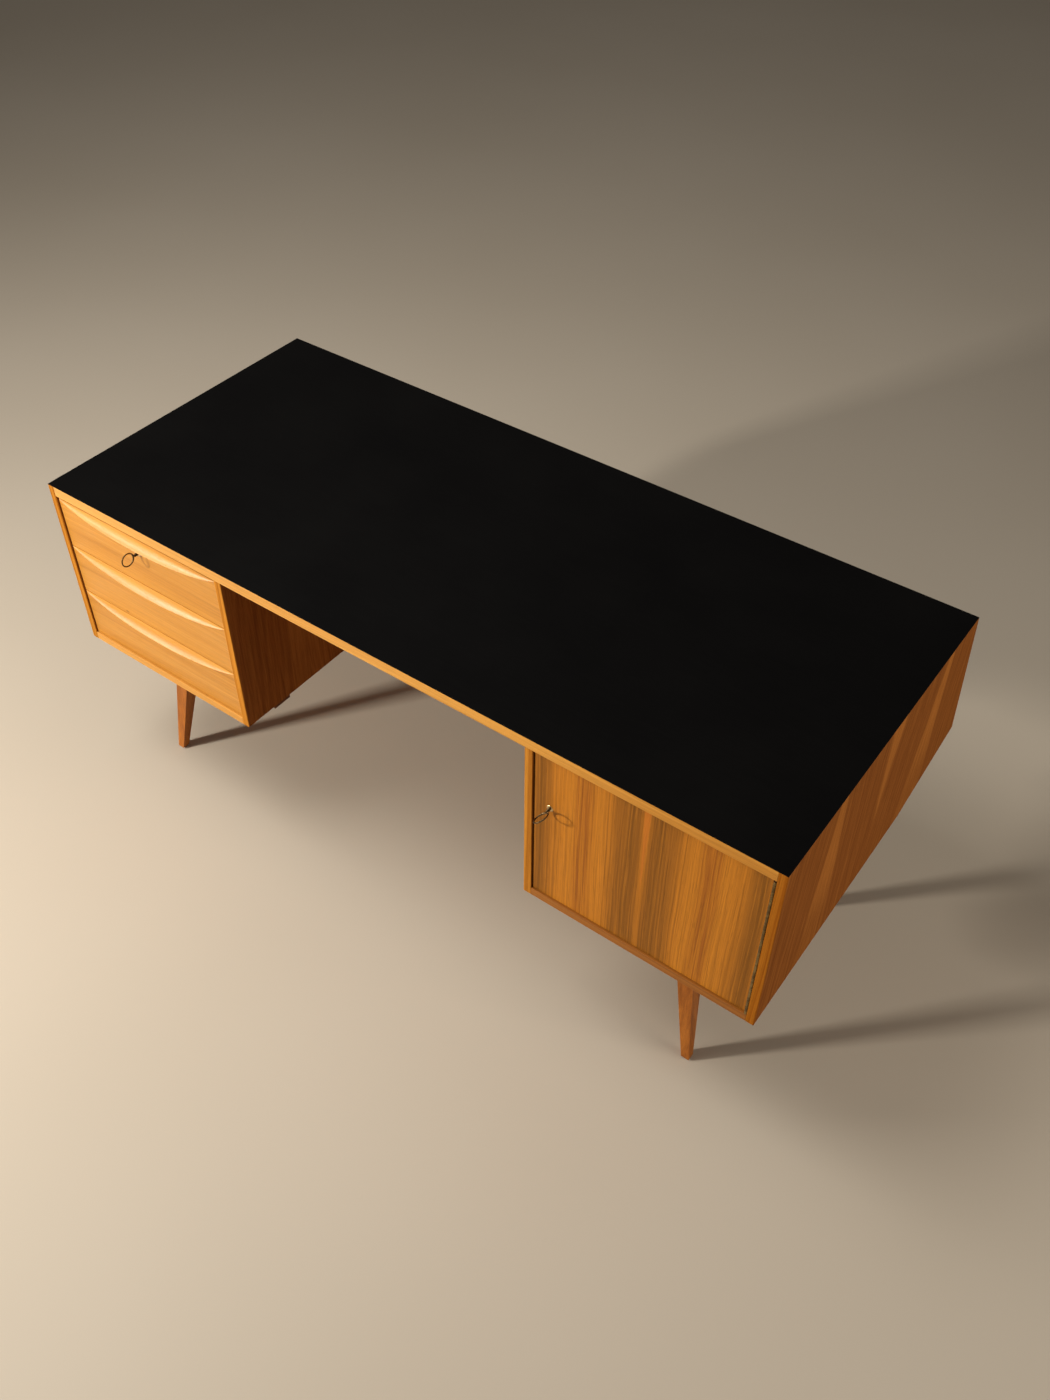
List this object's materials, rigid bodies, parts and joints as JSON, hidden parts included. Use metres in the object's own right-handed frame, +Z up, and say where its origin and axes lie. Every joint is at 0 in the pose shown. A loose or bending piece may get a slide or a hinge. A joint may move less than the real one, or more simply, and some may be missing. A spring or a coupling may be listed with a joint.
{
  "type": "writing desk",
  "caption": "Writing desk with a drawer pedestal, a cupboard pedestal with a locking door, an open book shelf along the back, splayed tapered legs and a black laminate top.",
  "frame": {"origin": "on the floor, under the middle of the desk's box with both keys in their locks", "axes": "+X to the sitter's right, +Y from the sitter to the back, +Z up"},
  "size_m": [1.68, 0.8522, 0.74],
  "materials": {
    "black_laminate": "matt black high-pressure laminate, very fine pearl texture",
    "carcass_veneer": "walnut veneer, satin lacquer, vertical grain, solid front edges",
    "inner_veneer": "walnut veneer, thin satin lacquer",
    "drawer_front_wood": "light walnut, horizontal grain, satin lacquer",
    "door_veneer": "walnut veneer with dark streaks, vertical grain, satin lacquer",
    "leg_wood": "solid wood stained brown, satin lacquer",
    "drawer_box_wood": "plain beech, thin matt lacquer",
    "drawer_plywood": "beech plywood, matt",
    "runner_wood": "waxed beech",
    "brass": "brass, slightly tarnished",
    "key_brass": "aged brass, dark in the hollows",
    "steel": "zinc-plated steel"
  },
  "bodies": {
    "carcass": {"top_laminate": "black_laminate", "top_board": "carcass_veneer", "left_outer_side": "carcass_veneer", "left_inner_side": "carcass_veneer", "right_inner_side": "carcass_veneer", "right_outer_side": "carcass_veneer", "left_bottom": "carcass_veneer", "right_bottom": "carcass_veneer", "left_book_shelf": "inner_veneer", "center_book_shelf": "inner_veneer", "right_book_shelf": "inner_veneer", "left_back": "inner_veneer", "center_back": "inner_veneer", "right_back": "inner_veneer", "drawer_runners": "runner_wood", "cupboard_shelf": "inner_veneer", "shelf_pins": "steel", "left_front_rail": "leg_wood", "left_rear_rail": "leg_wood", "right_front_rail": "leg_wood", "right_rear_rail": "leg_wood", "left_front_leg": "leg_wood", "left_rear_leg": "leg_wood", "right_front_leg": "leg_wood", "right_rear_leg": "leg_wood", "leg_glides": "steel", "rail_screws": "steel", "hinge_side_leaf": "brass", "hinge_pin": "steel", "hinge_side_screws": "brass"},
    "door": {"door_panel": "door_veneer", "hinge_door_leaf": "brass", "hinge_door_screws": "brass", "door_lock_case": "steel", "door_escutcheon": "brass"},
    "door_bolt": {"door_bolt": "steel"},
    "door_key": {"door_key": "key_brass"},
    "top_drawer": {"top_drawer_front": "drawer_front_wood", "top_drawer_left": "drawer_box_wood", "top_drawer_right": "drawer_box_wood", "top_drawer_back": "drawer_box_wood", "top_drawer_bottom": "drawer_plywood", "drawer_lock_case": "steel", "drawer_escutcheon": "brass"},
    "drawer_bolt": {"drawer_bolt": "steel"},
    "drawer_key": {"drawer_key": "key_brass"},
    "middle_drawer": {"middle_drawer_front": "drawer_front_wood", "middle_drawer_left": "drawer_box_wood", "middle_drawer_right": "drawer_box_wood", "middle_drawer_back": "drawer_box_wood", "middle_drawer_bottom": "drawer_plywood"},
    "lower_drawer": {"lower_drawer_front": "drawer_front_wood", "lower_drawer_left": "drawer_box_wood", "lower_drawer_right": "drawer_box_wood", "lower_drawer_back": "drawer_box_wood", "lower_drawer_bottom": "drawer_plywood"}
  },
  "joints": [
    {"name": "top_drawer_slide", "type": "slide", "parent": "carcass", "child": "top_drawer", "axis": [0, -1, 0], "range_m": [0, 0.36]},
    {"name": "middle_drawer_slide", "type": "slide", "parent": "carcass", "child": "middle_drawer", "axis": [0, -1, 0], "range_m": [0, 0.36]},
    {"name": "lower_drawer_slide", "type": "slide", "parent": "carcass", "child": "lower_drawer", "axis": [0, -1, 0], "range_m": [0, 0.36]},
    {"name": "door_hinge", "type": "hinge", "parent": "carcass", "child": "door", "pos_m": [0.8211, -0.38767, 0.5325], "axis": [0, 0, 1], "range_deg": [0, 105]},
    {"name": "drawer_key_turn", "type": "hinge", "parent": "top_drawer", "child": "drawer_key", "pos_m": [-0.5975, -0.38487, 0.672], "axis": [0, 1, 0], "range_deg": [0, 90]},
    {"name": "drawer_bolt_throw", "type": "slide", "parent": "top_drawer", "child": "drawer_bolt", "axis": [0, 0, 1], "range_m": [0, 0.01]},
    {"name": "door_key_turn", "type": "hinge", "parent": "door", "child": "door_key", "pos_m": [0.406, -0.38487, 0.592], "axis": [0, 1, 0], "range_deg": [0, 90]},
    {"name": "door_bolt_throw", "type": "slide", "parent": "door", "child": "door_bolt", "axis": [-1, 0, 0], "range_m": [0, 0.01]}
  ],
  "couplings": [
    {"joint": "drawer_key_turn", "follows": "drawer_bolt_throw", "rad_per_m": 157},
    {"joint": "door_key_turn", "follows": "door_bolt_throw", "rad_per_m": 157}
  ]
}
